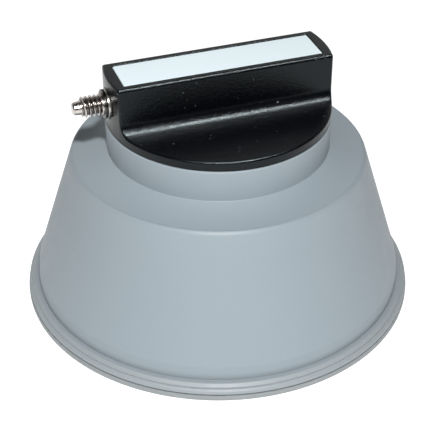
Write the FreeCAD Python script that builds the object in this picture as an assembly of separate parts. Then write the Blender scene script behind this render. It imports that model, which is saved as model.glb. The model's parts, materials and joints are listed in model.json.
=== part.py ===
"""Bar-handled snoot cup: a hollow flared bell that turns under a round cap with a bar handle.

Millimetres. +Z is up. The origin is the centre of the rim's underside. The bar handle runs along X
and the threaded side stud points towards -X.
"""
import FreeCAD, Part
import os
from math import atan2, cos, hypot, pi, radians, sin, sqrt, tan

Vector = FreeCAD.Vector
UP = Vector(0, 0, 1)
ORIGIN = Vector(0, 0, 0)

# ---- driving dimensions -------------------------------------------------------------------------
# bell, outside
RIM_R = 60.0                # outer radius of the soft edge ring
EDGE_RING_H = 1.7           # its height below the flange
REBATE_R, REBATE_TOP = 59.3, 2.2    # shadow line between the flange and the edge ring
FLANGE_R, FLANGE_LIP_R = 59.8, 59.1
FLANGE_TOP = 3.65
BEAD_R, BEAD_TOP_R = 58.8, 57.9
BEAD_SIDE_TOP, BEAD_TOP = 4.1, 4.85
LEDGE_R, LEDGE_Z = 56.65, 4.95
CONE_FOOT_R = 56.25
CONE_START_Z = 9.4          # below this the cone's wall stands nearly upright
SHOULDER_R, SHOULDER_Z = 44.15, 47.65
SHOULDER_DIP_R, SHOULDER_DIP_Z, SHOULDER_DIP_ROUND = 38.3, 48.06, 27.0
NECK_FOOT_R, NECK_FOOT_Z = 33.3, 50.5
NECK_TOP_R, NECK_TOP_Z = 33.4, 60.0
# bell, inside
WALL = 3.0
NECK_BORE_R = 30.3
DECK = 4.0                  # thickness of the wall that closes the neck
TONGUE_IN, TONGUE_OUT, TONGUE_H = 56.6, 57.9, 1.2
TONGUE_GAP = 0.05           # room left around the edge ring's tongue
BUTT_ANGLE = -57.0          # where the edge ring's two ends meet, in degrees
BUTT_GAP = 0.25

# cap and bar handle
CAP_R = 33.4
CAP_GAP = 0.4               # gap between the neck and the cap
CAP_EDGE_TOP = 63.2
BAR_TOP = 77.1
BAR_HALF = 8.5              # half width at the top
BAR_HALF_FOOT = 8.8         # half width at the foot, for mould draft
BAR_FILLET = 3.6            # between the bar and the cap
BAR_EDGE = 1.0              # rounding of the bar's upper edges
END_EDGE_LIFT = 0.03        # the end roundings start this much higher, so that no two are tangent
CAP_EDGE = 0.7              # rounding of the cap's upper edge
LABEL_L, LABEL_W, LABEL_T = 59.8, 12.2, 0.6
LABEL_GAP = 0.15
LABEL_SUNK = 0.15           # the label lies this far below the bar's top
ADHESIVE_T = 0.2

# centre pivot: quarter-inch bolt, clamped bush, glide ring and seal
BOLT_R = 3.175
BOLT_CLEARANCE = 0.1
HEX_AF, HEX_H = 11.1, 4.0
PIVOT_R = 6.0
PIVOT_CLEARANCE = 0.08      # running fit of the bush in the bell
PLATE_R, PLATE_T = 24.0, 1.5
FLAT_WASHER_R, FLAT_WASHER_T = 12.5, 1.5
LOCK_WASHER_R, LOCK_WASHER_T = 6.2, 1.6
SPRING_R, SPRING_T, SPRING_H = 11.0, 0.6, 1.07
INSERT_R, INSERT_L = 4.8, 10.0
GLIDE_IN, GLIDE_OUT, GLIDE_T = 23.0, 30.0, 1.2
GLIDE_GAP = 0.05            # room between the glide ring and its groove's walls
SEAL_IN, SEAL_OUT, SEAL_T = 30.9, 32.4, 1.2
SCREW_PCD, SCREW_COUNT = 36.0, 4
SCREW_R, SCREW_HEAD_R, SCREW_L = 1.45, 2.6, 4.6

# side stud: quarter-inch, 20 turns to the inch, with a pilot point
STUD_Z = 69.0
STUD_FACE_X = -33.1         # spot face at the bar's end
SPOT_R = 4.6
STUD_R, PITCH = 3.175, 1.27
THREAD_DEPTH = 0.78
THREAD_END_X = -41.3
PILOT_TIP_X = -43.7
PILOT_ROOT_R, PILOT_TIP_R, PILOT_BEVEL = 2.05, 1.8, 0.35
STUD_TAIL_X = -22.3         # inner end of the stud
SOCKET_AF, SOCKET_DEPTH = 3.175, 3.0
STUD_INSERT_R, STUD_INSERT_L = 4.1, 12.0
STUD_BORE_CLEARANCE = 0.05
STUD_SEAL_R, STUD_SEAL_T = 4.0, 0.25
STUD_WASHER_R, STUD_WASHER_T = 4.3, 0.75
COLLAR_R, COLLAR_T, COLLAR_CHAMFER = 4.2, 0.85, 0.2

# ---- worked out ---------------------------------------------------------------------------------
CONE_SLOPE = (CONE_FOOT_R - SHOULDER_R) / (SHOULDER_Z - CONE_START_Z)
CONE_WALL = WALL * hypot(1, CONE_SLOPE)      # the wall measured level
DECK_UNDER = NECK_TOP_Z - DECK
PLATE_UNDER = DECK_UNDER - PLATE_T
CAP_UNDER = NECK_TOP_Z + CAP_GAP
FLAT_WASHER_TOP = PLATE_UNDER - SPRING_H - 0.03
LOCK_WASHER_TOP = FLAT_WASHER_TOP - FLAT_WASHER_T
BOLT_HEAD_TOP = LOCK_WASHER_TOP - LOCK_WASHER_T
INSERT_TOP = CAP_UNDER + INSERT_L
LABEL_TOP = BAR_TOP - LABEL_SUNK
LABEL_UNDER = LABEL_TOP - LABEL_T
RECESS_FLOOR = LABEL_UNDER - ADHESIVE_T
MOUTH_R = CONE_FOOT_R + CONE_SLOPE * (CONE_START_Z - EDGE_RING_H) - CONE_WALL


# ---- helpers ------------------------------------------------------------------------------------
def rounded_wire(corners, place):
    """A closed wire through (u, v, radius) corners, each corner rounded by a tangent arc."""
    count = len(corners)
    ends = []
    for i, (u, v, radius) in enumerate(corners):
        before, after = corners[i - 1], corners[(i + 1) % count]
        to_before = (before[0] - u, before[1] - v)
        to_after = (after[0] - u, after[1] - v)
        len_before, len_after = hypot(*to_before), hypot(*to_after)
        unit_before = (to_before[0] / len_before, to_before[1] / len_before)
        unit_after = (to_after[0] / len_after, to_after[1] / len_after)
        if radius <= 0:
            ends.append(((u, v), None, (u, v)))
            continue
        cosine = unit_before[0] * unit_after[0] + unit_before[1] * unit_after[1]
        half = atan2(sqrt(max(0.0, 1 - cosine * cosine)), cosine) / 2
        reach = radius / tan(half)
        middle = (unit_before[0] + unit_after[0], unit_before[1] + unit_after[1])
        scale = (radius / sin(half) - radius) / hypot(*middle)
        ends.append((
            (u + unit_before[0] * reach, v + unit_before[1] * reach),
            (u + middle[0] * scale, v + middle[1] * scale),
            (u + unit_after[0] * reach, v + unit_after[1] * reach),
        ))
    edges = []
    for i, (start, mid, end) in enumerate(ends):
        if mid:
            edges.append(Part.Arc(place(*start), place(*mid), place(*end)).toShape())
        following = ends[(i + 1) % count][0]
        if hypot(following[0] - end[0], following[1] - end[1]) > 1e-6:
            edges.append(Part.LineSegment(place(*end), place(*following)).toShape())
    return Part.Wire(edges)


def turned(corners, angle=360.0, start=0.0):
    """A solid of revolution about Z from (radius, z, rounding) corners."""
    face = Part.Face(rounded_wire(corners, lambda r, z: Vector(r, 0, z)))
    solid = face.revolve(ORIGIN, UP, angle)
    solid.rotate(ORIGIN, UP, start)
    return solid


def ring(inner, outer, bottom, top, rounding=0.0):
    """A flat ring about Z."""
    return turned([
        (inner, bottom, rounding), (outer, bottom, rounding),
        (outer, top, rounding), (inner, top, rounding),
    ])


def cylinder(radius, bottom, top, x=0.0, y=0.0):
    return Part.makeCylinder(radius, top - bottom, Vector(x, y, bottom), UP)


def hexagon(across_flats, bottom, top):
    """A hexagonal prism about Z."""
    radius = across_flats / sqrt(3)
    points = [Vector(radius * cos(radians(60 * i)), radius * sin(radians(60 * i)), bottom)
              for i in range(7)]
    return Part.Face(Part.makePolygon(points)).extrude(UP * (top - bottom))


def thread_groove(major, depth, bottom, top):
    """The helical groove of a right-hand 60 degree thread about Z, to cut from a plain rod."""
    outside = 0.2
    mouth = PITCH * 7 / 8 + 2 * outside * tan(radians(30))
    floor = PITCH * 7 / 8 - 2 * depth * tan(radians(30))
    root = major - depth
    section = Part.makePolygon([
        Vector(major + outside, 0, bottom - mouth / 2), Vector(root, 0, bottom - floor / 2),
        Vector(root, 0, bottom + floor / 2), Vector(major + outside, 0, bottom + mouth / 2),
        Vector(major + outside, 0, bottom - mouth / 2),
    ])
    path = Part.makeHelix(PITCH, top - bottom, major)
    path.translate(UP * bottom)
    return Part.Wire(path).makePipeShell([section], True, True)


def to_side(solid):
    """Turn a solid built along +Z so that it runs along -X at the stud's height."""
    turned_solid = solid.copy()
    turned_solid.rotate(ORIGIN, Vector(0, 1, 0), -90)
    turned_solid.translate(UP * STUD_Z)
    return turned_solid


def group(solids):
    """Separate identical solids kept together as one node."""
    return Part.makeCompound(solids)


# ---- bell ---------------------------------------------------------------------------------------
def cup_shell():
    """The moulded bell: stepped flange, cone, shoulder, neck and the deck that closes the neck."""
    tongue_top = EDGE_RING_H + TONGUE_H + TONGUE_GAP
    shoulder_in_r = SHOULDER_R - CONE_WALL + CONE_SLOPE * WALL
    return turned([
        (MOUTH_R, EDGE_RING_H, 0.2),
        (TONGUE_IN - TONGUE_GAP, EDGE_RING_H, 0),
        (TONGUE_IN - TONGUE_GAP, tongue_top, 0),
        (TONGUE_OUT + TONGUE_GAP, tongue_top, 0),
        (TONGUE_OUT + TONGUE_GAP, EDGE_RING_H, 0),
        (REBATE_R, EDGE_RING_H, 0),
        (REBATE_R, REBATE_TOP, 0),
        (FLANGE_R, REBATE_TOP, 0.15),
        (FLANGE_R - 0.1, FLANGE_TOP - 0.55, 0.4),
        (FLANGE_LIP_R, FLANGE_TOP, 0),
        (BEAD_R, FLANGE_TOP, 0),
        (BEAD_R, BEAD_SIDE_TOP, 0.3),
        (BEAD_TOP_R, BEAD_TOP, 0.5),
        (LEDGE_R, LEDGE_Z, 0.15),
        (CONE_FOOT_R, CONE_START_Z, 1.5),
        (SHOULDER_R, SHOULDER_Z, 2.0),
        (SHOULDER_DIP_R, SHOULDER_DIP_Z, SHOULDER_DIP_ROUND),
        (NECK_FOOT_R, NECK_FOOT_Z, 0.25),
        (NECK_TOP_R, NECK_TOP_Z, 0.5),
        (PIVOT_R + PIVOT_CLEARANCE, NECK_TOP_Z, 0),
        (PIVOT_R + PIVOT_CLEARANCE, DECK_UNDER, 0),
        (NECK_BORE_R, DECK_UNDER, 2.0),
        (NECK_BORE_R, NECK_FOOT_Z - WALL + 1.1, 2.0),
        (SHOULDER_DIP_R - 0.5, SHOULDER_DIP_Z - WALL, 10.0),
        (shoulder_in_r, SHOULDER_Z - WALL, 2.0),
    ])


def lip_ring():
    """The soft edge ring: a strip with a tongue, bent to a ring with a butt joint."""
    gap_angle = BUTT_GAP / RIM_R * 180 / pi
    return turned([
        (MOUTH_R, 0, 0.5),
        (RIM_R, 0, 0.6),
        (RIM_R, EDGE_RING_H, 0.3),
        (TONGUE_OUT, EDGE_RING_H, 0),
        (TONGUE_OUT, EDGE_RING_H + TONGUE_H, 0.15),
        (TONGUE_IN, EDGE_RING_H + TONGUE_H, 0.15),
        (TONGUE_IN, EDGE_RING_H, 0),
        (MOUTH_R, EDGE_RING_H, 0.2),
    ], 360 - gap_angle, BUTT_ANGLE + gap_angle / 2)


def screw_places():
    """Centres of the backing plate's screws."""
    return [(SCREW_PCD / 2 * cos(radians(45 + 360 / SCREW_COUNT * i)),
             SCREW_PCD / 2 * sin(radians(45 + 360 / SCREW_COUNT * i)))
            for i in range(SCREW_COUNT)]


def plate_screw(x, y):
    """A countersunk screw from below, with a cross recess in its head."""
    head_under = PLATE_UNDER
    tip = head_under + SCREW_L
    screw = turned([
        (0, head_under, 0), (SCREW_HEAD_R, head_under, 0), (SCREW_R, head_under + 1.15, 0),
        (SCREW_R, tip - 0.8, 0), (0.4, tip, 0), (0, tip, 0),
    ])
    for width, length in ((0.6, 2.6), (2.6, 0.6)):
        slot = Part.makeBox(width, length, 0.7, Vector(-width / 2, -length / 2, head_under))
        screw = screw.cut(slot)
    screw.translate(Vector(x, y, 0))
    return screw


def countersink(x, y):
    """The hole that a plate screw sits in, through the backing plate and into the deck."""
    hole = turned([
        (0, PLATE_UNDER, 0), (SCREW_HEAD_R, PLATE_UNDER, 0), (SCREW_R, PLATE_UNDER + 1.15, 0),
        (SCREW_R, PLATE_UNDER + SCREW_L, 0), (0, PLATE_UNDER + SCREW_L, 0),
    ])
    hole.translate(Vector(x, y, 0))
    return hole


def with_screw_holes(solid):
    for x, y in screw_places():
        solid = solid.cut(countersink(x, y))
    return solid


def backing_plate():
    """The steel disc that stiffens the deck and runs on the pivot bush."""
    return with_screw_holes(
        ring(PIVOT_R + PIVOT_CLEARANCE, PLATE_R, PLATE_UNDER, DECK_UNDER, 0.15))


# ---- cap and handle -----------------------------------------------------------------------------
def handle_outside():
    """The cap and bar as one body: a drafted bar on a disc, its ends flush with the disc."""
    beyond = CAP_R + 1
    section = rounded_wire([
        (-beyond, CAP_UNDER, 0), (beyond, CAP_UNDER, 0), (beyond, CAP_EDGE_TOP, 0),
        (BAR_HALF_FOOT, CAP_EDGE_TOP, BAR_FILLET), (BAR_HALF, BAR_TOP, BAR_EDGE),
        (-BAR_HALF, BAR_TOP, BAR_EDGE), (-BAR_HALF_FOOT, CAP_EDGE_TOP, BAR_FILLET),
        (-beyond, CAP_EDGE_TOP, 0),
    ], lambda y, z: Vector(-beyond, y, z))
    bar = Part.Face(section).extrude(Vector(2 * beyond, 0, 0))
    envelope = turned([
        (0, CAP_UNDER, 0), (CAP_R, CAP_UNDER, 0.4),
        (CAP_R, BAR_TOP + END_EDGE_LIFT, BAR_EDGE), (0, BAR_TOP + END_EDGE_LIFT, 0),
    ])
    body = bar.common(envelope)
    # Only the two arcs of the disc's upper edge are still sharp.
    arcs = [edge for edge in body.Edges
            if abs(edge.BoundBox.ZMin - CAP_EDGE_TOP) < 0.01
            and abs(edge.BoundBox.ZMax - CAP_EDGE_TOP) < 0.01
            and edge.BoundBox.XLength > CAP_R]
    arcs = [edge for edge in arcs if edge.BoundBox.YLength > 1]
    return body.makeFillet(CAP_EDGE, arcs)


def handle_body():
    """The moulded cap with its bar, its recesses and the pockets that keep its walls even."""
    body = handle_outside()
    recess_half_l = LABEL_L / 2 + LABEL_GAP
    recess_half_w = LABEL_W / 2 + LABEL_GAP
    recess = rounded_wire([
        (-recess_half_l, -recess_half_w, 0.6), (recess_half_l, -recess_half_w, 0.6),
        (recess_half_l, recess_half_w, 0.6), (-recess_half_l, recess_half_w, 0.6),
    ], lambda x, y: Vector(x, y, RECESS_FLOOR))
    body = body.cut(Part.Face(recess).extrude(UP * 5))
    body = body.cut(ring(GLIDE_IN - GLIDE_GAP, GLIDE_OUT + GLIDE_GAP, CAP_UNDER - 1,
                         NECK_TOP_Z + GLIDE_T))
    body = body.cut(ring(SEAL_IN, SEAL_OUT, CAP_UNDER - 1, NECK_TOP_Z + SEAL_T))
    body = body.cut(cylinder(INSERT_R, CAP_UNDER - 1, INSERT_TOP))
    body = body.cut(cylinder(BOLT_R + 0.3, INSERT_TOP - 1, INSERT_TOP + 1.5))
    pocket_top = 72.5
    for start, end in ((9.5, 21.5), (-19.0, -9.5)):
        body = body.cut(Part.makeBox(end - start, 11.0, pocket_top - CAP_UNDER + 1,
                                     Vector(start, -5.5, CAP_UNDER - 1)))
    body = body.cut(to_side(cylinder(SPOT_R, -STUD_FACE_X, CAP_R + 5)))
    return body.cut(to_side(cylinder(STUD_INSERT_R, -STUD_FACE_X - STUD_INSERT_L, CAP_R + 5)))


def plate_blank(bottom, top, inset, rounding):
    """A flat strip in the handle's label recess."""
    half_l, half_w = LABEL_L / 2 - inset, LABEL_W / 2 - inset
    outline = rounded_wire([
        (-half_l, -half_w, rounding), (half_l, -half_w, rounding),
        (half_l, half_w, rounding), (-half_l, half_w, rounding),
    ], lambda x, y: Vector(x, y, bottom))
    return Part.Face(outline).extrude(UP * (top - bottom))


def label_plate():
    """The blank pale plate let into the bar's top."""
    return plate_blank(LABEL_UNDER, LABEL_TOP, 0, 0.5)


def label_adhesive():
    """The adhesive film under the plate."""
    return plate_blank(RECESS_FLOOR, LABEL_UNDER, 0.4, 0.4)


# ---- centre pivot -------------------------------------------------------------------------------
def glide_ring():
    """The low-friction ring that the cap turns on."""
    return ring(GLIDE_IN, GLIDE_OUT, NECK_TOP_Z, NECK_TOP_Z + GLIDE_T)


def neck_seal():
    """The soft ring that closes the gap between the cap and the neck."""
    return ring(SEAL_IN, SEAL_OUT, NECK_TOP_Z + 0.03, NECK_TOP_Z + SEAL_T)


def pivot_bush():
    """The spacer that the bolt clamps, so that the bell can turn on it."""
    return ring(BOLT_R + BOLT_CLEARANCE, PIVOT_R, FLAT_WASHER_TOP, CAP_UNDER)


def centre_insert():
    """The knurled brass insert that takes the bolt."""
    insert = ring(BOLT_R + STUD_BORE_CLEARANCE, INSERT_R, CAP_UNDER, INSERT_TOP)
    middle = (CAP_UNDER + INSERT_TOP) / 2
    return insert.cut(ring(INSERT_R - 0.5, INSERT_R + 1, middle - 0.8, middle + 0.8))


def centre_bolt():
    """The hex-head bolt that holds the bell to the handle."""
    head = hexagon(HEX_AF, BOLT_HEAD_TOP - HEX_H, BOLT_HEAD_TOP)
    dome = turned([
        (0, BOLT_HEAD_TOP - HEX_H, 0), (HEX_AF / 2 - 0.2, BOLT_HEAD_TOP - HEX_H, 0),
        (HEX_AF / 2 + 1.2, BOLT_HEAD_TOP - HEX_H + 0.75, 0), (HEX_AF / 2 + 1.2, BOLT_HEAD_TOP, 0),
        (0, BOLT_HEAD_TOP, 0),
    ])
    shank = turned([
        (0, BOLT_HEAD_TOP - 1, 0), (BOLT_R, BOLT_HEAD_TOP - 1, 0), (BOLT_R, INSERT_TOP - 0.2, 0),
        (BOLT_R - 0.7, INSERT_TOP + 0.5, 0), (0, INSERT_TOP + 0.5, 0),
    ])
    groove = thread_groove(BOLT_R, THREAD_DEPTH, CAP_UNDER + PITCH, INSERT_TOP + 2 * PITCH)
    return head.common(dome).fuse(shank.cut(groove)).removeSplitter()


def disc_spring():
    """The coned spring washer that keeps the turning joint firm."""
    inner, bottom = PIVOT_R + 0.2, FLAT_WASHER_TOP
    rise = SPRING_H - SPRING_T
    return turned([
        (inner, bottom + rise, 0), (SPRING_R, bottom, 0),
        (SPRING_R, bottom + SPRING_T, 0), (inner, bottom + SPRING_H, 0),
    ])


def flat_washer():
    return ring(BOLT_R + 0.2, FLAT_WASHER_R, LOCK_WASHER_TOP, FLAT_WASHER_TOP, 0.15)


def lock_washer():
    """A split lock washer, shown flat."""
    washer = ring(BOLT_R + 0.15, LOCK_WASHER_R, BOLT_HEAD_TOP, LOCK_WASHER_TOP, 0.1)
    slit = Part.makeBox(6, 0.6, LOCK_WASHER_T + 2, Vector(1.5, -0.3, BOLT_HEAD_TOP - 1))
    slit.rotate(Vector(4.5, 0, (BOLT_HEAD_TOP + LOCK_WASHER_TOP) / 2), Vector(1, 0, 0), 25)
    return washer.cut(slit)


# ---- side stud ----------------------------------------------------------------------------------
def stud_insert():
    """The brass insert in the bar's end that takes the stud."""
    outer, inner = -STUD_FACE_X, -STUD_FACE_X - STUD_INSERT_L
    insert = ring(STUD_R + STUD_BORE_CLEARANCE, STUD_INSERT_R, inner, outer)
    middle = (outer + inner) / 2
    insert = insert.cut(ring(STUD_INSERT_R - 0.4, STUD_INSERT_R + 1, middle - 1, middle + 1))
    return to_side(insert)


def stud_seal():
    """The thin black seal in the spot face, under the washer."""
    outer = -STUD_FACE_X
    return to_side(ring(STUD_R + 0.1, STUD_SEAL_R, outer, outer + STUD_SEAL_T))


def stud_washer():
    """The bright washer at the bar's end."""
    inner = -STUD_FACE_X + STUD_SEAL_T
    return to_side(ring(STUD_R + 0.06, STUD_WASHER_R, inner, inner + STUD_WASHER_T, 0.12))


def collar_span():
    """Where the collar starts and ends, measured along -X."""
    start = -STUD_FACE_X + STUD_SEAL_T + STUD_WASHER_T
    return start, start + COLLAR_T


def stud_collar():
    """The dark round lock nut on the stud's thread."""
    start, end = collar_span()
    return to_side(turned([
        (STUD_R, start, 0), (COLLAR_R - COLLAR_CHAMFER, start, 0),
        (COLLAR_R, start + COLLAR_CHAMFER, 0), (COLLAR_R, end - COLLAR_CHAMFER, 0),
        (COLLAR_R - COLLAR_CHAMFER, end, 0), (STUD_R, end, 0),
    ]))


def side_stud():
    """The quarter-inch stud: pilot point, thread and, at its inner end, a hex socket."""
    tail, thread_end, tip = -STUD_TAIL_X, -THREAD_END_X, -PILOT_TIP_X
    lead = 0.55
    rod = turned([
        (0, tail, 0), (STUD_R - 0.5, tail, 0), (STUD_R, tail + 0.5, 0),
        (STUD_R, thread_end - lead, 0), (PILOT_ROOT_R + 0.25, thread_end, 0),
        (PILOT_ROOT_R, thread_end, 0), (PILOT_TIP_R, tip - PILOT_BEVEL, 0),
        (PILOT_TIP_R - PILOT_BEVEL, tip, 0), (0, tip, 0),
    ])
    start, end = collar_span()
    rod = rod.cut(thread_groove(STUD_R, THREAD_DEPTH, end + PITCH * 0.5, thread_end + PITCH))
    rod = rod.cut(thread_groove(STUD_R, THREAD_DEPTH, tail - PITCH, -STUD_FACE_X - PITCH))
    socket = hexagon(SOCKET_AF, tail - 1, tail + SOCKET_DEPTH)
    return to_side(rod.cut(socket))


# ---- write --------------------------------------------------------------------------------------
PARTS = {
    "cup_shell": lambda: with_screw_holes(cup_shell()),
    "lip_ring": lip_ring,
    "backing_plate": backing_plate,
    "plate_screws": lambda: group([plate_screw(x, y) for x, y in screw_places()]),
    "handle_body": handle_body,
    "label_plate": label_plate,
    "label_adhesive": label_adhesive,
    "glide_ring": glide_ring,
    "neck_seal": neck_seal,
    "pivot_bush": pivot_bush,
    "centre_insert": centre_insert,
    "centre_bolt": centre_bolt,
    "disc_spring": disc_spring,
    "flat_washer": flat_washer,
    "lock_washer": lock_washer,
    "stud_insert": stud_insert,
    "stud_seal": stud_seal,
    "stud_washer": stud_washer,
    "stud_collar": stud_collar,
    "side_stud": side_stud,
}

os.makedirs("parts", exist_ok=True)
for name, make in PARTS.items():
    shape = make()
    shape.exportStep(f"parts/{name}.step")
    solids = shape.Solids
    print(f"{name:16} solids {len(solids)} valid {shape.isValid()} volume {shape.Volume:9.2f}")
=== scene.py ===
"""Looks of the bar-handled snoot cup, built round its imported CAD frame.

Metres, +Z up. The bell stands on its rim round the Z axis, the bar handle runs along X and the side
stud points towards -X. Sizes are in millimetres in the named values and are turned to metres once.
"""

import json
from math import acos, asin, ceil, cos, hypot, pi, radians, sin, sqrt, tan

import bmesh
import bpy
from mathutils import Matrix, Vector


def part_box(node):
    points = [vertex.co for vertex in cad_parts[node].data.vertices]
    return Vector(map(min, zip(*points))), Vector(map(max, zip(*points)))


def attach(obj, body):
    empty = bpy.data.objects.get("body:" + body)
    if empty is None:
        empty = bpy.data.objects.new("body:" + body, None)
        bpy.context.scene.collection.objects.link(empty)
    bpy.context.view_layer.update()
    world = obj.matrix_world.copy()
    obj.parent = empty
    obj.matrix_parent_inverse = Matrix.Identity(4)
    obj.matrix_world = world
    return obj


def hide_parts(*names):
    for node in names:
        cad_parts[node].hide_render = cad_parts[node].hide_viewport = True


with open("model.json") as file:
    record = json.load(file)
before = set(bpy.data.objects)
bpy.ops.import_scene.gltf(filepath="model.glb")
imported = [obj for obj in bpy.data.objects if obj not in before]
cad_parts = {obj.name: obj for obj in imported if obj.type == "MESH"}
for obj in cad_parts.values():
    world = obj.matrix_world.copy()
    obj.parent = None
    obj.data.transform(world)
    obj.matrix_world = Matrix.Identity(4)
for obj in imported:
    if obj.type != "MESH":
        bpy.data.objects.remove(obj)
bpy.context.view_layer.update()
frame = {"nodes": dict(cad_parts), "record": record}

# ---- sizes, in millimetres ----------------------------------------------------------------------
MM = 0.001


def box_mm(node):
    """Lowest and highest corner of a CAD node, in millimetres."""
    low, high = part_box(node)
    return low / MM, high / MM


ring_low, ring_high = box_mm("lip_ring")
cap_low, cap_high = box_mm("handle_body")
label_low, label_high = box_mm("label_plate")
stud_low, _ = box_mm("side_stud")
washer_low, washer_high = box_mm("stud_washer")
collar_low, collar_high = box_mm("stud_collar")
seal_low, seal_high = box_mm("stud_seal")
plate_low, plate_high = box_mm("backing_plate")
_, bush_high = box_mm("pivot_bush")
spring_low, spring_high = box_mm("disc_spring")
flat_low, flat_high = box_mm("flat_washer")
lock_low, lock_high = box_mm("lock_washer")
bolt_low, bolt_high = box_mm("centre_bolt")
screws_low, screws_high = box_mm("plate_screws")
glide_low, glide_high = box_mm("glide_ring")
_, neck_seal_high = box_mm("neck_seal")

# bell
RIM_R = min(ring_high.x, ring_high.y, -ring_low.x, -ring_low.y)
EDGE_RING_H = 1.7
REBATE_R, REBATE_TOP = 59.3, 2.2    # shadow line between the flange and the edge ring
FLANGE_R, FLANGE_LIP_R, FLANGE_TOP = 59.8, 59.1, 3.65
BEAD_R, BEAD_TOP_R, BEAD_SIDE_TOP, BEAD_TOP = 58.8, 57.9, 4.1, 4.85
LEDGE_R, LEDGE_Z = 56.65, 4.95
CONE_FOOT_R, CONE_START_Z = 56.25, 9.4
SHOULDER_R, SHOULDER_Z = 44.15, 47.65
DIP_R, DIP_Z = 38.3, 48.06
NECK_FOOT_R, NECK_FOOT_Z = 33.3, 50.5
NECK_TOP_R = 33.4
NECK_TOP = glide_low.z
NECK_BORE_R = 30.3
DECK_UNDER = plate_high.z
WALL = 3.0
CONE_SLOPE = (CONE_FOOT_R - SHOULDER_R) / (SHOULDER_Z - CONE_START_Z)
CONE_WALL = WALL * hypot(1, CONE_SLOPE)
MOUTH_R = CONE_FOOT_R + CONE_SLOPE * (CONE_START_Z - EDGE_RING_H) - CONE_WALL
TONGUE_IN, TONGUE_OUT, TONGUE_H, TONGUE_GAP = 56.6, 57.9, 1.2, 0.05
BUTT_ANGLE = radians(-57.0)
BUTT_GAP = 0.25

# cap and bar handle
CAP_R = min(cap_high.x, cap_high.y)
CAP_UNDER = cap_low.z
CAP_EDGE_TOP = 63.2
CAP_LOWER_EDGE = 0.4        # rounding of the cap's lower edge
BAR_TOP = cap_high.z
BAR_HALF, BAR_HALF_FOOT = 8.5, 8.8
BAR_FILLET, BAR_EDGE = 3.6, 1.0
GLIDE_GROOVE_IN, GLIDE_GAP = 22.95, 0.05
SEAL_GROOVE_IN = 30.9
CENTRE_INSERT_R, CENTRE_INSERT_L = 4.8, 10.0
BALL = 0.7                  # rounding all along the cap's and the bar's outline
LABEL_HALF_L, LABEL_HALF_W = label_high.x, label_high.y
LABEL_GAP = 0.15
LABEL_CORNER, RECESS_CORNER, RECESS_CHAMFER = 0.5, 0.6, 0.12
ADHESIVE_T = 0.2

# centre pivot
BUSH_GAP = 0.08
PLATE_R = 24.0
BOLT_R, BOLT_POINT = 3.175, 0.7
SPRING_IN, SPRING_T = 6.2, 0.6
FLAT_WASHER_IN = 3.375
LOCK_WASHER_IN, LOCK_WASHER_R = 3.33, 6.2
SCREW_R, SCREW_HEAD_R, SCREW_HEAD_H = 1.45, 2.6, 1.15
SCREW_HOLE_GAP = 0.05

# side stud
STUD_Z = (collar_low.z + collar_high.z) / 2
STUD_FACE = -seal_high.x    # the spot face, measured along -X
STUD_R, PITCH, THREAD_DEPTH = 3.175, 1.27, 0.78
THREAD_END = 41.3
PILOT_TIP = -stud_low.x
PILOT_ROOT_R, PILOT_TIP_R, PILOT_BEVEL = 2.05, 1.8, 0.35
STUD_TAIL = 22.3
SPOT_R = 4.6
STUD_BORE_R, STUD_BORE_L = 4.1, 12.0


# ---- mesh helpers -------------------------------------------------------------------------------
def rounded(corners, closed=True, step=radians(10)):
    """Points of an outline through (u, v, radius) corners, each rounded by a tangent arc."""
    points = []
    count = len(corners)
    for i, (u, v, radius) in enumerate(corners):
        at_end = not closed and i in (0, count - 1)
        if radius <= 0 or at_end:
            points.append((u, v))
            continue
        corner = Vector((u, v))
        back = (Vector(corners[i - 1][:2]) - corner).normalized()
        ahead = (Vector(corners[(i + 1) % count][:2]) - corner).normalized()
        half = acos(max(-1.0, min(1.0, back.dot(ahead)))) / 2
        centre = corner + (back + ahead).normalized() * (radius / sin(half))
        first = corner + back * (radius / tan(half)) - centre
        turn = pi - 2 * half
        if first.x * back.y - first.y * back.x > 0:
            turn = -turn
        steps = max(2, ceil(abs(turn) / step))
        for k in range(steps + 1):
            arm = Matrix.Rotation(turn * k / steps, 2) @ first
            points.append(tuple(centre + arm))
    return points


def mesh_object(name, vertices, faces):
    """A new object from vertices in millimetres, welded, with its faces turned outwards."""
    mesh = bpy.data.meshes.new(name)
    mesh.from_pydata([Vector(v) * MM for v in vertices], [], faces)
    shape = bmesh.new()
    shape.from_mesh(mesh)
    bmesh.ops.remove_doubles(shape, verts=shape.verts, dist=2e-7)
    bmesh.ops.dissolve_degenerate(shape, edges=shape.edges, dist=1e-7)
    bmesh.ops.recalc_face_normals(shape, faces=shape.faces)
    shape.to_mesh(mesh)
    shape.free()
    made = bpy.data.objects.new(name, mesh)
    bpy.context.scene.collection.objects.link(made)
    return made


def revolve(name, outline, segments=192, start=0.0, sweep=2 * pi):
    """A solid of revolution about Z from a closed (radius, height) outline."""
    whole = sweep > 2 * pi - 1e-6
    columns = segments if whole else segments + 1
    rows = len(outline)
    vertices = []
    for i in range(columns):
        angle = start + sweep * i / segments
        vertices += [(r * cos(angle), r * sin(angle), z) for r, z in outline]
    faces = []
    for i in range(segments):
        here, there = i * rows, (i + 1) % columns * rows
        for j in range(rows):
            k = (j + 1) % rows
            faces.append((here + j, there + j, there + k, here + k))
    if not whole:
        faces.append(tuple(range(rows)))
        faces.append(tuple(range((columns - 1) * rows, columns * rows)))
    return mesh_object(name, vertices, faces)


def ring(name, inner, outer, bottom, top, rounding=0.1, segments=96, **turn):
    """A flat ring about Z with rounded edges."""
    outline = rounded([
        (inner, bottom, rounding), (outer, bottom, rounding),
        (outer, top, rounding), (inner, top, rounding),
    ], step=radians(30))
    return revolve(name, outline, segments, **turn)


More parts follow.
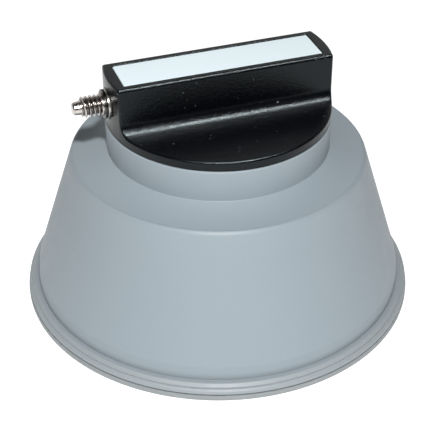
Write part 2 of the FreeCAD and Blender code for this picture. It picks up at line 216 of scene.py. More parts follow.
def prism(name, loops):
    """A solid through a stack of equal closed loops of points, capped at both ends."""
    count = len(loops[0])
    vertices = [point for loop in loops for point in loop]
    faces = [tuple(range(count)), tuple(range((len(loops) - 1) * count, len(loops) * count))]
    for level in range(len(loops) - 1):
        for i in range(count):
            j = (i + 1) % count
            low, high = level * count, (level + 1) * count
            faces.append((low + i, low + j, high + j, high + i))
    return mesh_object(name, vertices, faces)


def slab_loop(half_l, half_w, corner, z, inset=0.0):
    """One level of a flat strip: a rounded rectangle, drawn in by inset."""
    outline = rounded([
        (-half_l + inset, -half_w + inset, corner), (half_l - inset, -half_w + inset, corner),
        (half_l - inset, half_w - inset, corner), (-half_l + inset, half_w - inset, corner),
    ], step=radians(15))
    return [(x, y, z) for x, y in outline]


def drum(name, radius, bottom, top, segments):
    """A plain round solid about Z."""
    return revolve(name, [(0, bottom), (radius, bottom), (radius, top), (0, top)], segments)


def to_side(piece):
    """Turns a piece built along +Z so that it runs along -X at the stud's height."""
    lift = Matrix.Translation((0, 0, STUD_Z * MM))
    piece.data.transform(lift @ Matrix.Rotation(radians(-90), 4, "Y"))
    return piece


def evaluated_mesh(piece):
    """The piece's mesh with its modifiers applied."""
    depsgraph = bpy.context.evaluated_depsgraph_get()
    return bpy.data.meshes.new_from_object(piece.evaluated_get(depsgraph))


def apply_modifiers(piece):
    """Bakes the piece's modifiers into its mesh."""
    mesh = evaluated_mesh(piece)
    piece.modifiers.clear()
    piece.data = mesh
    return piece


def combine(piece, cutters, operation="DIFFERENCE"):
    """Cuts each cutter out of the piece, or keeps what they share, and removes the cutters."""
    for cutter in cutters:
        modifier = piece.modifiers.new("cut", "BOOLEAN")
        modifier.operation = operation
        modifier.solver = "EXACT"
        modifier.object = cutter
    bpy.context.view_layer.update()
    apply_modifiers(piece)
    for cutter in cutters:
        bpy.data.objects.remove(cutter)
    return piece


def smooth(piece, sharp=radians(32)):
    """Smooth shading that keeps broad flat faces flat and edges over the sharp angle crisp."""
    piece.data.polygons.foreach_set("use_smooth", [True] * len(piece.data.polygons))
    piece.data.set_sharp_from_angle(angle=sharp)
    weights = piece.modifiers.new("normals", "WEIGHTED_NORMAL")
    weights.keep_sharp = True
    weights.weight = 100
    return apply_modifiers(piece)


def join(name, parts):
    """One object from several separate closed meshes."""
    shape = bmesh.new()
    for part in parts:
        shape.from_mesh(part.data)
        bpy.data.objects.remove(part)
    mesh = bpy.data.meshes.new(name)
    shape.to_mesh(mesh)
    shape.free()
    made = bpy.data.objects.new(name, mesh)
    bpy.context.scene.collection.objects.link(made)
    return made


def place(piece, node, material):
    """The piece stands for a CAD node, rides on that node's body and takes its material."""
    piece.data.materials.clear()
    piece.data.materials.append(material)
    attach(piece, BODY_OF[node])
    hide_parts(node)
    return piece


BODY_OF = {node: body for body, nodes in frame["record"]["behaviour"]["bodies"].items()
           for node in nodes}


# ---- material helpers ---------------------------------------------------------------------------
class Surface:
    """A procedural material under construction: colour, roughness and bump from layered noise."""

    def __init__(self, name, colour, roughness, metallic=0.0, **sockets):
        self.material = bpy.data.materials.new(name)
        self.material.use_nodes = True
        self.nodes = self.material.node_tree.nodes
        self.links = self.material.node_tree.links
        self.shader = self.nodes["Principled BSDF"]
        self.shader.inputs["Metallic"].default_value = metallic
        self.shader.inputs["Roughness"].default_value = roughness
        self.shader.inputs["Base Color"].default_value = (*colour, 1)
        for socket, value in sockets.items():
            self.shader.inputs[socket.replace("_", " ")].default_value = value
        self.where = self.nodes.new("ShaderNodeTexCoord").outputs["Object"]
        self.colour = None
        self.base = colour
        self.normal = None

    def noise(self, size_mm, detail=2.0, rough=0.5, stretch=None):
        """Noise whose features are about size_mm across, optionally stretched along an axis."""
        texture = self.nodes.new("ShaderNodeTexNoise")
        texture.inputs["Scale"].default_value = 1 / (size_mm * MM)
        texture.inputs["Detail"].default_value = detail
        texture.inputs["Roughness"].default_value = rough
        where = self.where
        if stretch:
            mapping = self.nodes.new("ShaderNodeMapping")
            mapping.inputs["Scale"].default_value = stretch
            self.links.new(where, mapping.inputs["Vector"])
            where = mapping.outputs["Vector"]
        self.links.new(where, texture.inputs["Vector"])
        return texture.outputs["Fac"]

    def ramp(self, source, low, high, from_value=0.0, to_value=1.0):
        """source mapped from low..high to from_value..to_value, clamped."""
        node = self.nodes.new("ShaderNodeMapRange")
        node.inputs["From Min"].default_value = low
        node.inputs["From Max"].default_value = high
        node.inputs["To Min"].default_value = from_value
        node.inputs["To Max"].default_value = to_value
        self.links.new(source, node.inputs["Value"])
        return node.outputs["Result"]

    def maths(self, operation, first, second):
        """A sum or product of two sockets or numbers."""
        node = self.nodes.new("ShaderNodeMath")
        node.operation = operation
        for socket, value in zip(node.inputs, (first, second)):
            if isinstance(value, (int, float)):
                socket.default_value = value
            else:
                self.links.new(value, socket)
        return node.outputs["Value"]

    def height(self):
        """Height above the floor, in millimetres."""
        node = self.nodes.new("ShaderNodeSeparateXYZ")
        self.links.new(self.where, node.inputs["Vector"])
        return self.maths("DIVIDE", node.outputs["Z"], MM)

    def from_stud_axis(self):
        """Distance from the side stud's axis, in millimetres."""
        centred = self.nodes.new("ShaderNodeVectorMath")
        centred.operation = "MULTIPLY_ADD"
        centred.inputs[1].default_value = (0, 1, 1)
        centred.inputs[2].default_value = (0, 0, -STUD_Z * MM)
        length = self.nodes.new("ShaderNodeVectorMath")
        length.operation = "LENGTH"
        self.links.new(self.where, centred.inputs[0])
        self.links.new(centred.outputs["Vector"], length.inputs[0])
        return self.maths("DIVIDE", length.outputs["Value"], MM)

    def tint(self, mask, colour):
        """Mixes a colour in where the mask is high."""
        node = self.nodes.new("ShaderNodeMix")
        node.data_type = "RGBA"
        self.links.new(mask, node.inputs["Factor"])
        if self.colour:
            self.links.new(self.colour, node.inputs["A"])
        else:
            node.inputs["A"].default_value = (*self.base, 1)
        node.inputs["B"].default_value = (*colour, 1)
        self.colour = node.outputs["Result"]
        self.links.new(self.colour, self.shader.inputs["Base Color"])
        return self

    def roughness(self, source):
        """Lets the source drive the roughness."""
        self.links.new(source, self.shader.inputs["Roughness"])
        return self

    def bump(self, source, depth_mm, strength=1.0):
        """Adds the source as fine relief of the given depth, on top of any relief before it."""
        node = self.nodes.new("ShaderNodeBump")
        node.inputs["Distance"].default_value = depth_mm * MM
        node.inputs["Strength"].default_value = strength
        self.links.new(source, node.inputs["Height"])
        if self.normal:
            self.links.new(self.normal, node.inputs["Normal"])
        self.normal = node.outputs["Normal"]
        self.links.new(self.normal, self.shader.inputs["Normal"])
        return self


# ---- materials ----------------------------------------------------------------------------------
def moulded_grey():
    """The bell: satin grey moulding with a fine grain, faint mottling and dust. Painted light makes
    its lower part paler, standing in for floor bounce, and painted shade darkens the crease above
    the ledge.
    """
    s = Surface("bell_grey", (0.273, 0.320, 0.352), 0.5, Specular_IOR_Level=0.5)
    s.tint(s.ramp(s.noise(26, 3), 0.45, 0.75, 0.0, 0.20), (0.249, 0.298, 0.330))
    s.tint(s.ramp(s.noise(0.5, 1), 0.35, 0.8, 0.0, 0.12), (0.320, 0.366, 0.392))
    s.tint(s.ramp(s.noise(0.6, 0), 0.84, 0.87, 0.0, 0.3), (0.14, 0.16, 0.175))
    # painted light: the cone is painted paler towards the floor, standing in for light bounced up
    # from the floor
    s.tint(s.ramp(s.height(), 38, 10, 0.0, 0.6), (0.306, 0.362, 0.400))
    # painted light: the bead and flange below the ledge are painted paler, standing in for
    # floor-bounce light
    s.tint(s.ramp(s.height(), LEDGE_Z + 0.2, LEDGE_Z - 0.2, 0.0, 0.6), (0.335, 0.36, 0.37))
    # painted shade: a darker band painted just above the ledge, where the crease lies in shade
    painted_crease_shade = s.maths("MULTIPLY", s.ramp(s.height(), LEDGE_Z - 0.15, LEDGE_Z + 0.05),
                     s.ramp(s.height(), LEDGE_Z + 2.2, LEDGE_Z + 0.3))
    s.tint(s.maths("MULTIPLY", painted_crease_shade, 0.55), (0.185, 0.215, 0.235))
    s.roughness(s.ramp(s.noise(5, 3), 0.3, 0.7, 0.46, 0.56))
    s.bump(s.noise(0.35, 2), 0.012)
    s.bump(s.noise(14, 2), 0.10, 0.5)
    return s.material


def soft_lip():
    """The edge ring: a softer, paler rubbery strip."""
    s = Surface("lip_grey", (0.305, 0.330, 0.338), 0.55, Specular_IOR_Level=0.4)
    s.tint(s.ramp(s.noise(7, 3), 0.4, 0.75, 0.0, 0.35), (0.262, 0.290, 0.300))
    s.tint(s.ramp(s.noise(0.6, 1), 0.68, 0.8, 0.0, 0.30), (0.20, 0.22, 0.225))
    s.roughness(s.ramp(s.noise(3, 2), 0.3, 0.7, 0.5, 0.65))
    s.bump(s.noise(0.6, 2), 0.02)
    return s.material


def textured_black():
    """The cap and bar: satin black moulding with a spark-eroded grain and a few pale specks."""
    s = Surface("handle_black", (0.0007, 0.0008, 0.0014), 0.25, Specular_IOR_Level=0.26,
                Specular_Tint=(0.84, 0.97, 1.0, 1))
    s.tint(s.ramp(s.noise(0.5, 1), 0.5, 0.8, 0.0, 0.5), (0.0014, 0.0016, 0.0024))
    s.tint(s.ramp(s.noise(0.8, 0), 0.84, 0.87, 0.0, 0.3), (0.25, 0.26, 0.26))
    s.roughness(s.ramp(s.noise(0.8, 2), 0.3, 0.7, 0.19, 0.27))
    s.bump(s.noise(0.42, 3, 0.75), 0.06)
    s.bump(s.noise(0.65, 1), 0.065)
    return s.material


def pale_label():
    """The blank label plate: smooth, very pale blue-grey."""
    s = Surface("label_pale", (0.775, 0.890, 0.935), 0.35, Specular_IOR_Level=0.45)
    s.tint(s.ramp(s.noise(18, 2), 0.4, 0.8, 0.0, 0.25), (0.735, 0.848, 0.900))
    s.tint(s.ramp(s.noise(0.8, 1), 0.72, 0.84, 0.0, 0.20), (0.60, 0.68, 0.70))
    s.roughness(s.ramp(s.noise(2.5, 3), 0.3, 0.7, 0.28, 0.42))
    s.bump(s.noise(1.2, 2), 0.006)
    return s.material


def stud_nickel():
    """The side stud: nickel plate with brown grime in the thread's grooves."""
    s = Surface("stud_nickel", (0.62, 0.585, 0.555), 0.24, metallic=1.0)
    s.tint(s.ramp(s.noise(0.5, 3), 0.5, 0.72, 0.0, 0.5), (0.25, 0.20, 0.17))
    away = s.from_stud_axis()
    groove = s.maths("MULTIPLY", s.ramp(away, 2.2, 2.35), s.ramp(away, 2.95, 2.7))
    s.tint(s.maths("MULTIPLY", groove, 0.65), (0.075, 0.052, 0.045))
    s.roughness(s.ramp(s.noise(0.7, 2), 0.3, 0.7, 0.17, 0.34))
    s.bump(s.noise(0.12, 2), 0.006)
    return s.material


def plated(name, colour, roughness, grime):
    """A plated, turned metal: fine turning marks, uneven polish and patches of grime."""
    s = Surface(name, colour, roughness, metallic=1.0)
    s.tint(s.ramp(s.noise(0.5, 3), 0.5, 0.72, 0.0, 0.55), grime)
    s.roughness(s.ramp(s.noise(0.7, 2), 0.3, 0.7, roughness * 0.7, roughness * 1.5))
    s.bump(s.noise(0.12, 2), 0.006)
    return s.material


def rubber(name, colour):
    """A dull soft seal."""
    s = Surface(name, colour, 0.7, Specular_IOR_Level=0.3)
    s.tint(s.ramp(s.noise(0.7, 2), 0.5, 0.8, 0.0, 0.4), tuple(c * 1.8 + 0.01 for c in colour))
    s.roughness(s.ramp(s.noise(1.5, 2), 0.3, 0.7, 0.6, 0.8))
    s.bump(s.noise(0.3, 2), 0.01)
    return s.material


def plain_plastic(name, colour, roughness):
    """A pale hidden part: slide plastic or tape."""
    s = Surface(name, colour, roughness)
    s.tint(s.ramp(s.noise(4, 3), 0.4, 0.8, 0.0, 0.3), tuple(c * 0.85 for c in colour))
    s.roughness(s.ramp(s.noise(1, 2), 0.3, 0.7, roughness * 0.8, roughness * 1.3))
    s.bump(s.noise(0.4, 2), 0.008)
    return s.material


MATERIALS = {
    "cup_grey": moulded_grey(),
    "lip_grey": soft_lip(),
    "handle_black": textured_black(),
    "label_pale": pale_label(),
    "stud_nickel": stud_nickel(),
    "collar_dark": plated("collar_dark", (0.07, 0.07, 0.068), 0.28, (0.025, 0.025, 0.022)),
    "zinc_steel": plated("zinc_steel", (0.45, 0.455, 0.46), 0.32, (0.20, 0.195, 0.185)),
    "spring_steel": plated("spring_steel", (0.30, 0.30, 0.31), 0.38, (0.14, 0.13, 0.12)),
    "bush_bronze": plated("bush_bronze", (0.62, 0.43, 0.24), 0.33, (0.30, 0.19, 0.10)),
    "insert_brass": plated("insert_brass", (0.74, 0.57, 0.28), 0.30, (0.40, 0.28, 0.12)),
    "seal_black": rubber("seal_black", (0.02, 0.02, 0.02)),
    "glide_white": plain_plastic("glide_white", (0.83, 0.82, 0.77), 0.4),
    "adhesive_white": plain_plastic("adhesive_white", (0.78, 0.78, 0.74), 0.5),
}


# ---- bell ---------------------------------------------------------------------------------------
def cup_shell():
    """The moulded bell, with its stepped flange and the groove for the edge ring."""
    tongue_top = EDGE_RING_H + TONGUE_H + TONGUE_GAP
    shoulder_in_r = SHOULDER_R - CONE_WALL + CONE_SLOPE * WALL
    bush_hole = bush_high.x + BUSH_GAP
    outline = rounded([
        (MOUTH_R, EDGE_RING_H, 0.2),
        (TONGUE_IN - TONGUE_GAP, EDGE_RING_H, 0),
        (TONGUE_IN - TONGUE_GAP, tongue_top, 0),
        (TONGUE_OUT + TONGUE_GAP, tongue_top, 0),
        (TONGUE_OUT + TONGUE_GAP, EDGE_RING_H, 0),
        (REBATE_R, EDGE_RING_H, 0),
        (REBATE_R, REBATE_TOP, 0),
        (FLANGE_R, REBATE_TOP, 0.15),
        (FLANGE_R - 0.1, FLANGE_TOP - 0.55, 0.4),
        (FLANGE_LIP_R, FLANGE_TOP, 0),
        (BEAD_R, FLANGE_TOP, 0),
        (BEAD_R, BEAD_SIDE_TOP, 0.3),
        (BEAD_TOP_R, BEAD_TOP, 0.5),
        (LEDGE_R, LEDGE_Z, 0.15),
        (CONE_FOOT_R, CONE_START_Z, 1.5),
        (SHOULDER_R, SHOULDER_Z, 2.0),
        (DIP_R, DIP_Z, 27.0),
        (NECK_FOOT_R, NECK_FOOT_Z, 0.25),
        (NECK_TOP_R, NECK_TOP, 0.5),
        (bush_hole, NECK_TOP, 0),
        (bush_hole, DECK_UNDER, 0),
        (NECK_BORE_R, DECK_UNDER, 2.0),
        (NECK_BORE_R, NECK_FOOT_Z - WALL + 1.1, 2.0),
        (DIP_R - 0.5, DIP_Z - WALL, 10.0),
        (shoulder_in_r, SHOULDER_Z - WALL, 2.0),
    ], step=radians(4))
    return smooth(revolve("bell", outline, 288))


def lip_ring():
    """The soft edge ring with its butt joint."""
    outline = rounded([
        (MOUTH_R, 0, 0.5),
        (RIM_R, 0, 0.6),
        (RIM_R, EDGE_RING_H, 0.3),
        (TONGUE_OUT, EDGE_RING_H, 0),
        (TONGUE_OUT, EDGE_RING_H + TONGUE_H, 0.15),
        (TONGUE_IN, EDGE_RING_H + TONGUE_H, 0.15),
        (TONGUE_IN, EDGE_RING_H, 0),
        (MOUTH_R, EDGE_RING_H, 0.2),
    ], step=radians(15))
    gap = BUTT_GAP / RIM_R
    return smooth(revolve("edge_ring", outline, 288, BUTT_ANGLE + gap / 2, 2 * pi - gap))


# ---- cap and bar --------------------------------------------------------------------------------
def bar_section():
    """The section across the bar from one edge of the cap to the other: (y, z, normal)."""
    reach = CAP_R - BALL
    half = []
    flat_steps = 26
    fillet_start = rounded([
        (BAR_HALF_FOOT + 20, CAP_EDGE_TOP, 0), (BAR_HALF_FOOT, CAP_EDGE_TOP, BAR_FILLET),
        (BAR_HALF, BAR_TOP, BAR_EDGE), (0, BAR_TOP, 0),
    ], closed=False, step=radians(7))[1:-1]
    lean = asin(fillet_start[0][0] / reach)
    for i in range(flat_steps):
        angle = pi / 2 + (lean - pi / 2) * i / flat_steps
        half.append((reach * sin(angle), CAP_EDGE_TOP))
    half += fillet_start
    half += [(y, BAR_TOP) for y in (5.4, 3.6, 1.8)]
    whole = half + [(0, BAR_TOP)] + [(-y, z) for y, z in reversed(half)]
    rows = []
    for i, (y, z) in enumerate(whole):
        before, after = whole[max(0, i - 1)], whole[min(len(whole) - 1, i + 1)]
        arms = [Vector((before[0] - y, before[1] - z)), Vector((y - after[0], z - after[1]))]
        along = sum((arm.normalized() for arm in arms if arm.length > 1e-9), Vector((0, 0)))
        normal = Vector((-along.y, along.x)).normalized()
        rows.append((y, z, normal if normal.y > -0.01 else -normal))
    return rows


def edge_line(side, up, centre):
    """Points down one side of the handle: the ball's arc, the upright wall, the lower edge."""
    centre_x, centre_y, centre_z = centre
    wall = Vector((side * centre_x, centre_y, 0)).normalized()
    angle = up.angle(wall)
    arc_steps, wall_steps, lower_steps = 6, 3, 4
    points = []
    for k in range(arc_steps + 1):
        t = angle * k / arc_steps
        arm = (up * sin(angle - t) + wall * sin(t)) / sin(angle)
        points.append(Vector((side * centre_x, centre_y, centre_z)) + arm * BALL)
    top, bottom = points[-1].z, CAP_UNDER + CAP_LOWER_EDGE
    for k in range(1, wall_steps + 1):
        level = top + (bottom - top) * k / wall_steps
        points.append(Vector((wall.x * CAP_R, wall.y * CAP_R, level)))
    for k in range(1, lower_steps + 1):
        t = pi / 2 * k / lower_steps
        radius = CAP_R - CAP_LOWER_EDGE + CAP_LOWER_EDGE * cos(t)
        level = bottom - CAP_LOWER_EDGE * sin(t)
        points.append(Vector((wall.x * radius, wall.y * radius, level)))
    return points


def handle_row(y, z, up):
    """One row of the handle's skin, from the lower edge on the left to that on the right."""
    reach, inner_columns = CAP_R - BALL, 10
    centre_y, centre_z = y - BALL * up.y, z - BALL * up.z
    centre_x = sqrt(max(0.0, reach * reach - centre_y * centre_y))
    centre = (centre_x, centre_y, centre_z)
    middle = [Vector((centre_x * (2 * k / inner_columns - 1), y, z))
              for k in range(1, inner_columns)]
    return edge_line(-1, up, centre)[::-1] + middle + edge_line(1, up, centre)


def handle_skin():
    """The cap and bar as one closed skin: a ball rolled along the whole outline rounds its edge."""
    rows = bar_section()
    grid = []
    for y, z, normal in rows:
        at_cap_edge = y in (rows[0][0], rows[-1][0])
        up = Vector((0, 0, 1)) if at_cap_edge else Vector((0, normal.x, normal.y))
        grid.append(handle_row(y, z, up))
    columns = len(grid[0])
    faces = []
    for i in range(len(grid) - 1):
        for j in range(columns - 1):
            a = i * columns + j
            faces.append((a, a + 1, a + 1 + columns, a + columns))
    left = [i * columns for i in range(len(grid))]
    right = [i * columns + columns - 1 for i in range(len(grid))]
    faces.append(tuple(left + right[::-1]))
    return mesh_object("handle", [tuple(point) for row in grid for point in row], faces)


def label_recess():
    """The pocket for the label, with a small chamfer round its mouth."""
    half_l, half_w = LABEL_HALF_L + LABEL_GAP, LABEL_HALF_W + LABEL_GAP
    return prism("recess", [
        slab_loop(half_l, half_w, RECESS_CORNER, label_low.z - ADHESIVE_T),
        slab_loop(half_l, half_w, RECESS_CORNER, BAR_TOP - RECESS_CHAMFER),
        slab_loop(half_l, half_w, RECESS_CORNER, BAR_TOP + RECESS_CHAMFER,
                  inset=-2 * RECESS_CHAMFER),
    ])


def handle_body():
    """The cap and bar as one moulding, with its recess, bores and grooves cut in."""
    below = CAP_UNDER - 1
    spot = to_side(drum("spot", SPOT_R, STUD_FACE, STUD_FACE + 5, 64))
    stud_hole = to_side(drum("stud_hole", STUD_BORE_R, STUD_FACE - STUD_BORE_L, STUD_FACE + 1, 48))
    glide_groove = ring("glide_groove", GLIDE_GROOVE_IN, glide_high.x + GLIDE_GAP, below,
                        glide_high.z, 0)
    seal_groove = ring("seal_groove", SEAL_GROOVE_IN, neck_seal_high.x, below,
                       neck_seal_high.z, 0)
    insert_hole = drum("insert_hole", CENTRE_INSERT_R, below, CAP_UNDER + CENTRE_INSERT_L, 48)
    cutters = [label_recess(), spot, stud_hole, glide_groove, seal_groove, insert_hole]
    return smooth(combine(handle_skin(), cutters))


def label_plate():
    """The blank plate let into the bar's top, with a softly rounded upper edge."""
    top, edge, steps = label_high.z, 0.15, 4
    loops = [slab_loop(LABEL_HALF_L, LABEL_HALF_W, LABEL_CORNER, label_low.z)]
    for k in range(steps + 1):
        t = pi / 2 * k / steps
        loops.append(slab_loop(LABEL_HALF_L, LABEL_HALF_W, LABEL_CORNER,
                               top - edge + edge * sin(t), edge * (1 - cos(t))))
    return smooth(prism("label", loops), radians(50))


# ---- centre pivot, seen from inside the bell ----------------------------------------------------
def screw_places():
    """Centres of the backing plate's screws, from the box that holds them."""
    far = screws_high.x - SCREW_HEAD_R
    return [(far * x, far * y) for x in (-1, 1) for y in (-1, 1)]


def backing_plate():
    """The plate under the deck, countersunk for its four screws."""
    plate = ring("plate", bush_high.x + BUSH_GAP, PLATE_R, plate_low.z, plate_high.z, 0.15, 128)
    seat, bore = SCREW_HEAD_R + SCREW_HOLE_GAP, SCREW_R + SCREW_HOLE_GAP
    holes = []
    for x, y in screw_places():
        hole = revolve("hole", [(0, plate_low.z - 0.5), (seat + 0.95, plate_low.z - 0.5),
                                (seat, plate_low.z), (bore, plate_low.z + SCREW_HEAD_H),
                                (bore, plate_high.z + 1), (0, plate_high.z + 1)], 32)
        hole.data.transform(Matrix.Translation((x * MM, y * MM, 0)))
        holes.append(hole)
    return smooth(combine(plate, holes))


def cuboid(name, low, high):
    """A block between two opposite corners."""
    (x0, y0, z0), (x1, y1, z1) = low, high
    return prism(name, [[(x0, y0, z), (x1, y0, z), (x1, y1, z), (x0, y1, z)] for z in (z0, z1)])


def plate_screws():
    """Four countersunk screws with cross recesses."""
    head, tip = screws_low.z, screws_high.z
    screws = []
    for x, y in screw_places():
        screw = revolve("screw", rounded([
            (0, head, 0), (SCREW_HEAD_R, head, 0.12), (SCREW_R, head + SCREW_HEAD_H, 0),
            (SCREW_R, tip - 0.8, 0), (0.4, tip, 0), (0, tip, 0),
        ]), 32)
        slots = [cuboid("slot", (-a, -b, head - 1), (a, b, head + 0.7))
                 for a, b in ((0.3, 1.3), (1.3, 0.3))]
        combine(screw, slots)
        screw.data.transform(Matrix.Translation((x * MM, y * MM, 0)))
        screws.append(screw)
    return smooth(join("plate_screw_set", screws))


def centre_bolt():
    """The hex head with its chamfered corners, and the shank."""
    bottom, under = bolt_low.z, lock_low.z
    flats = bolt_high.y
    corner = flats / cos(radians(30))
    hexagon = [(corner * cos(radians(60 * i)), corner * sin(radians(60 * i))) for i in range(6)]
    head = prism("head", [[(x, y, z) for x, y in hexagon] for z in (bottom, under)])
    dome = revolve("dome", [(0, bottom), (flats - 0.2, bottom), (flats + 1.2, bottom + 0.75),
                            (flats + 1.2, under + 1), (0, under + 1)], 96)
    combine(head, [dome], "INTERSECT")
    top = bolt_high.z
    shank = revolve("shank", [(0, under), (BOLT_R, under), (BOLT_R, top - BOLT_POINT),
                              (BOLT_R - BOLT_POINT, top), (0, top)], 48)
    return smooth(join("bolt", [head, shank]))


def disc_spring():
    """A shallow coned washer, high in the middle."""
    outer, bottom, top = spring_high.x, spring_low.z, spring_high.z
    outline = rounded([
        (SPRING_IN, top - SPRING_T, 0.1), (outer, bottom, 0.1), (outer, bottom + SPRING_T, 0.1),
        (SPRING_IN, top, 0.1),
    ], step=radians(30))
    return smooth(revolve("cone_spring", outline, 96))


def lock_washer():
    """A split washer: a ring with a slanted slit."""
    washer = ring("split_washer", LOCK_WASHER_IN, LOCK_WASHER_R, lock_low.z, lock_high.z, 0.12)
    middle = (lock_low.z + lock_high.z) / 2
    slit = cuboid("slit", (1.5, -0.3, -2), (7.5, 0.3, 2))
    slit.data.transform(Matrix.Translation((0, 0, middle * MM)) @
                        Matrix.Rotation(radians(25), 4, "X"))
    return smooth(combine(washer, [slit]))


# ---- side stud ----------------------------------------------------------------------------------
def groove_depth(turns):
    """How deep the thread's groove is, for a position along the axis counted in turns."""
    off_centre = abs(turns % 1 - 0.5) * PITCH
    mouth, floor = 0.556, 0.13
    return THREAD_DEPTH * max(0.0, min(1.0, (mouth - off_centre) / (mouth - floor)))


def stud_radius(along, angle, thread_start):
    """The stud's radius at a distance along its axis and an angle round it."""
    lead = 0.55
    if along <= STUD_TAIL + 0.5:
        plain = STUD_R - 0.5 + (along - STUD_TAIL)
    elif along <= THREAD_END - lead:
        plain = STUD_R
    else:
        plain = STUD_R - (along - THREAD_END + lead) / lead * (STUD_R - PILOT_ROOT_R - 0.25)
    fade = max(0.0, min(1.0, (along - thread_start) / (PITCH * 0.5)))
    cut = groove_depth(along / PITCH - angle / (2 * pi)) * fade
    return max(PILOT_ROOT_R, min(plain, STUD_R - cut))


def side_stud():
    """The quarter-inch stud: right-hand thread, then a slightly tapered pilot with a bevel."""
    around, per_turn = 96, 26
    thread_start = -collar_low.x + 0.35
    levels = [STUD_TAIL, STUD_TAIL + 0.5, thread_start - 0.1]
    steps = ceil((THREAD_END - thread_start) / PITCH * per_turn)
    levels += [thread_start + (THREAD_END - thread_start) * i / steps for i in range(steps + 1)]
    loops = []
    for level in levels:
        loop = []
        for j in range(around):
            angle = 2 * pi * j / around
            radius = stud_radius(level, angle, thread_start)
            loop.append((radius * cos(angle), radius * sin(angle), level))
        loops.append(loop)
    for radius, level in rounded([
        (PILOT_ROOT_R, THREAD_END + 0.01, 0), (PILOT_TIP_R, PILOT_TIP - PILOT_BEVEL, 0.15),
        (PILOT_TIP_R - PILOT_BEVEL, PILOT_TIP, 0.1), (0.3, PILOT_TIP, 0),
    ], closed=False):
        loops.append([(radius * cos(2 * pi * j / around), radius * sin(2 * pi * j / around), level)
                      for j in range(around)])
    return smooth(to_side(prism("stud", loops)), radians(50))


def flat_washer():
    """The plain washer under the spring."""
    return smooth(ring("washer_flat", FLAT_WASHER_IN, flat_high.x, flat_low.z, flat_high.z, 0.15))


def stud_ring(name, node_low, node_high, inner, rounding):
    """A ring on the stud, from its CAD node's box."""
    outer = (node_high.z - node_low.z) / 2
    return smooth(to_side(ring(name, inner, outer, -node_high.x, -node_low.x, rounding, 96)))


# ---- put the pieces on their bodies -------------------------------------------------------------
PIECES = {
    "cup_shell": cup_shell,
    "lip_ring": lip_ring,
    "handle_body": handle_body,
    "label_plate": label_plate,
    "backing_plate": backing_plate,
    "plate_screws": plate_screws,
    "centre_bolt": centre_bolt,
    "disc_spring": disc_spring,
    "flat_washer": flat_washer,
    "lock_washer": lock_washer,
    "side_stud": side_stud,
    "stud_collar": lambda: stud_ring("collar", collar_low, collar_high, STUD_R, 0.18),
    "stud_washer": lambda: stud_ring("washer", washer_low, washer_high, STUD_R + 0.06, 0.12),
    "stud_seal": lambda: stud_ring("seal", seal_low, seal_high, STUD_R + 0.1, 0.06),
}
SLOT_OF = {entry["node"]: entry["material_slot"] for entry in frame["record"]["subparts"]}

placed = {node: place(make(), node, MATERIALS[SLOT_OF[node]])
          for node, make in PIECES.items()}

for node, carried in frame["nodes"].items():
    if node not in PIECES:
        for material_slot in carried.material_slots:
            material_slot.material = MATERIALS[SLOT_OF[node]]


# ---- floor, light and camera --------------------------------------------------------------------
def floor():
    """A plain pale floor that glows a little, just under the rim."""
    half, level = 3000, -0.05
    made = mesh_object("floor", [(-half, -half, level), (half, -half, level),
                                 (half, half, level), (-half, half, level)], [(0, 1, 2, 3)])
    s = Surface("floor_pale", (0.42, 0.42, 0.42), 0.8, Specular_IOR_Level=0.1,
                Emission_Color=(1, 1, 1, 1), Emission_Strength=0.86)
    made.data.materials.append(s.material)


def area_light(name, place_mm, size_mm, power, aim_mm=(0, 0, 40)):
    """A square softbox that looks at the object."""
    light = bpy.data.lights.new(name, "AREA")
    light.size = size_mm * MM
    light.energy = power
    made = bpy.data.objects.new(name, light)
    bpy.context.scene.collection.objects.link(made)
    made.location = Vector(place_mm) * MM
    made.rotation_mode = "QUATERNION"
    ahead = Vector(aim_mm) - Vector(place_mm)
    made.rotation_quaternion = ahead.to_track_quat("-Z", "Y")
    return made


def shine_only_on(light, pieces):
    """Keeps a light off everything but some pieces, as a flag in front of a lamp would."""
    lit = bpy.data.collections.new(light.name + "_lit")
    for piece in pieces:
        lit.objects.link(piece)
    light.light_linking.receiver_collection = lit


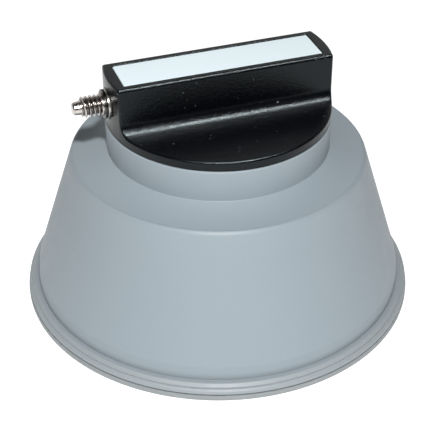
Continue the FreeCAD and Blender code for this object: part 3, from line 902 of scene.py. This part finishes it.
def studio_air(base, behind, left):
    """A dim room with a paler wall behind the object and another on its left."""
    world = bpy.data.worlds.new("studio")
    bpy.context.scene.world = world
    world.use_nodes = True
    nodes, links = world.node_tree.nodes, world.node_tree.links
    split = nodes.new("ShaderNodeSeparateXYZ")
    links.new(nodes.new("ShaderNodeTexCoord").outputs["Generated"], split.inputs["Vector"])
    total = None
    for axis, first, full, amount in (("Y", 0.45, 0.70, behind), ("X", -0.2, -0.8, left)):
        patch = nodes.new("ShaderNodeMapRange")
        patch.inputs["From Min"].default_value = first
        patch.inputs["From Max"].default_value = full
        patch.inputs["To Max"].default_value = amount
        links.new(split.outputs[axis], patch.inputs["Value"])
        add = nodes.new("ShaderNodeMath")
        links.new(patch.outputs["Result"], add.inputs[0])
        if total:
            links.new(total, add.inputs[1])
        else:
            add.inputs[1].default_value = base
        total = add.outputs["Value"]
    links.new(total, nodes["Background"].inputs["Strength"])
    nodes["Background"].inputs["Color"].default_value = (0.98, 1.0, 0.98, 1)


def camera():
    """The view from in front, a little to the left and from above."""
    azimuth, elevation, roll = radians(-19.64), radians(35.11), radians(0.174)
    distance, aim_height, sideways = 396.6, 22.08, -0.545
    back = Vector((sin(azimuth) * cos(elevation), -cos(azimuth) * cos(elevation), sin(elevation)))
    right = Vector((cos(azimuth), sin(azimuth), 0))
    up = back.cross(right)
    tilted_right = right * cos(roll) + up * sin(roll)
    tilted_up = up * cos(roll) - right * sin(roll)
    aim = Vector((0, 0, aim_height)) + tilted_right * sideways
    data = bpy.data.cameras.new("camera")
    data.sensor_width = 36
    data.lens = 105.87
    data.clip_start, data.clip_end = 0.01, 50
    made = bpy.data.objects.new("camera", data)
    bpy.context.scene.collection.objects.link(made)
    turn = Matrix((tilted_right, tilted_up, back)).transposed().to_4x4()
    made.matrix_world = Matrix.Translation((aim + back * distance) * MM) @ turn
    bpy.context.scene.camera = made


# ---- the set ------------------------------------------------------------------------------------
floor()
area_light("flash", (-78, -262, 352), 25, 1.92)
shine_only_on(area_light("overhead", (220, -220, 990), 160, 13), [placed["handle_body"]])
studio_air(0.02, 0.55, 0.03)
bpy.context.scene.view_settings.view_transform = "Standard"
camera()
